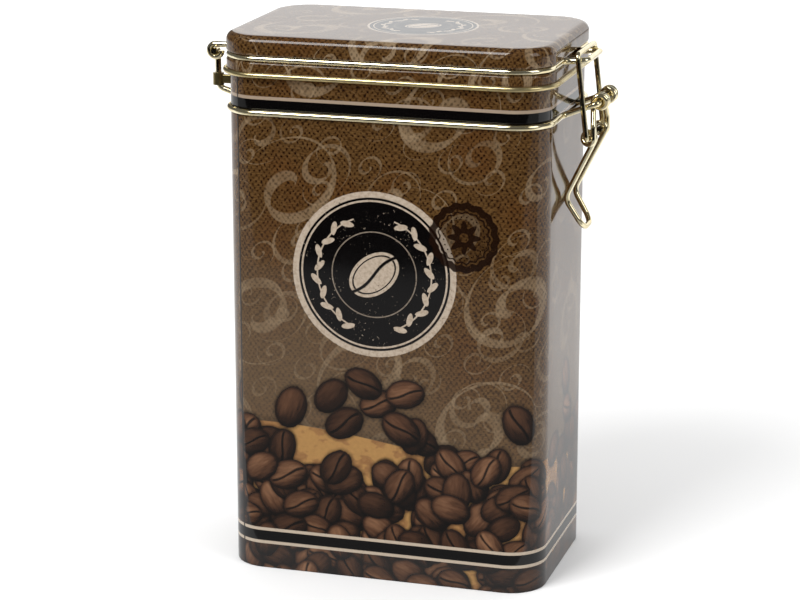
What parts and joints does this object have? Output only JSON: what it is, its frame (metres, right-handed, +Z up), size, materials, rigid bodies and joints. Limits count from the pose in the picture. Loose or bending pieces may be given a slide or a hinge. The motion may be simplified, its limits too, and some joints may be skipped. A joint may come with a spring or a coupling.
{
  "type": "coffee tin",
  "caption": "Tall rectangular printed storage tin with rounded corners, a hinged cap lid with a sealing ring, and a wire over-centre clasp.",
  "frame": {"origin": "centre of the base, on the surface that the tin stands on", "axes": "+Z up; +X towards the clasp, -X towards the hinge; the broad front faces -Y"},
  "size_m": [0.1471, 0.079, 0.197],
  "materials": {
    "printed_tinplate": "glossy printed lacquer",
    "printed_lid": "glossy printed lacquer, gold curl",
    "bare_tinplate": "satin",
    "gilt_wire": "bright pale gold",
    "gilt_clip": "dull gold",
    "seal_rubber": "matte"
  },
  "bodies": {
    "tin": {"body_wall": "printed_tinplate", "base_panel": "bare_tinplate", "body_ring": "gilt_wire", "hinge_clip_front": "gilt_clip", "hinge_clip_back": "gilt_clip"},
    "lid": {"lid_shell": "printed_lid", "lid_seal": "seal_rubber", "lid_ring": "gilt_wire"},
    "lever": {"clasp_lever": "gilt_wire"},
    "link": {"clasp_link": "gilt_wire"}
  },
  "joints": [
    {"name": "lid_swing", "type": "hinge", "parent": "tin", "child": "lid", "pos_m": [-0.069, 0, 0.18672], "axis": [0, -1, 0], "range_deg": [0, 110]},
    {"name": "lever_swing", "type": "hinge", "parent": "tin", "child": "lever", "pos_m": [0.0715, 0, 0.1748], "axis": [0, -1, 0], "range_deg": [0, 110]},
    {"name": "link_swing", "type": "hinge", "parent": "lever", "child": "link", "pos_m": [0.06815, 0, 0.162], "axis": [0, -1, 0], "range_deg": [-165, 0]}
  ],
  "couplings": [
    {"joint": "link_swing", "follows": "lever_swing", "ratio": -1.5}
  ]
}
